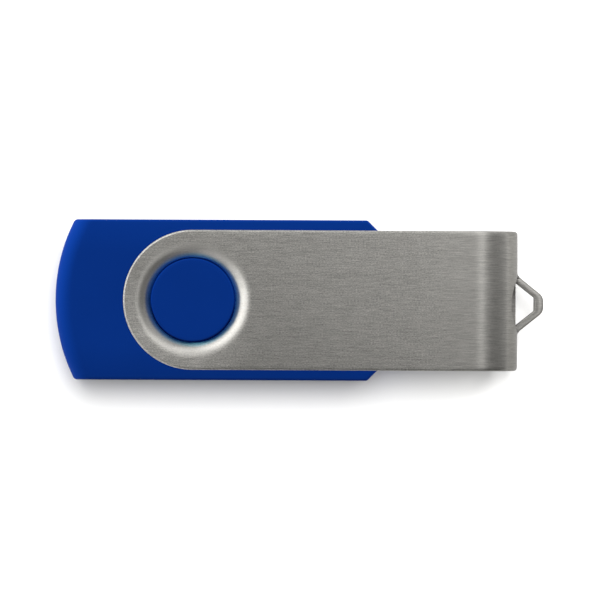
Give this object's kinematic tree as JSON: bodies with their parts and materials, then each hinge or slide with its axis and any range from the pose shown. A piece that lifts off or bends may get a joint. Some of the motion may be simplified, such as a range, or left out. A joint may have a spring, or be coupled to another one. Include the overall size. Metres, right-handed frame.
{
  "type": "usb flash drive",
  "caption": "Swivel flash drive: a plastic two-shell housing with a standard rectangular plug, and a folded sheet-metal clip that turns about a moulded boss to cover or free the plug.",
  "frame": {"origin": "centre of the bounding box in length and width, at the outer face of the clip's lower plate", "axes": "+X along the length towards the plug and the cord loop, +Y across the width, +Z through the thickness, from the lower plate of the clip to the upper one"},
  "size_m": [0.0578, 0.019, 0.0106],
  "materials": {
    "housing_plastic": "fine satin moulding",
    "clip_metal": "brushed along the length",
    "plug_metal": "bright nickel plate",
    "plug_plastic": "satin",
    "contact_gold": "gold flash",
    "board_laminate": "solder mask",
    "solder": "bright reflowed solder",
    "chip_plastic": "fine matte moulding",
    "lead_tin": "matte tin plate",
    "ceramic_pale": "fired matte",
    "ceramic_dark": "glazed",
    "ceramic_tan": "fired matte",
    "led_resin": "clear resin"
  },
  "bodies": {
    "case": {"upper_shell": "housing_plastic", "lower_shell": "housing_plastic", "plug_shell": "plug_metal", "plug_insulator": "plug_plastic", "power_contact": "contact_gold", "data_minus_contact": "contact_gold", "data_plus_contact": "contact_gold", "ground_contact": "contact_gold", "circuit_board": "board_laminate", "solder_joints": "solder", "flash_package": "chip_plastic", "flash_leads": "lead_tin", "controller_package": "chip_plastic", "controller_leads": "lead_tin", "crystal_base": "ceramic_pale", "crystal_lid": "plug_metal", "regulator_package": "chip_plastic", "regulator_leads": "lead_tin", "led_base": "ceramic_pale", "led_lens": "led_resin", "resistor_bodies": "ceramic_dark", "resistor_terminals": "lead_tin", "capacitor_bodies": "ceramic_tan", "capacitor_terminals": "lead_tin"},
    "clip": {"swivel_clip": "clip_metal"}
  },
  "joints": [
    {"name": "swivel", "type": "hinge", "parent": "case", "child": "clip", "pos_m": [-0.0126, 0, 0.0053], "axis": [0, 0, 1], "continuous": true}
  ]
}
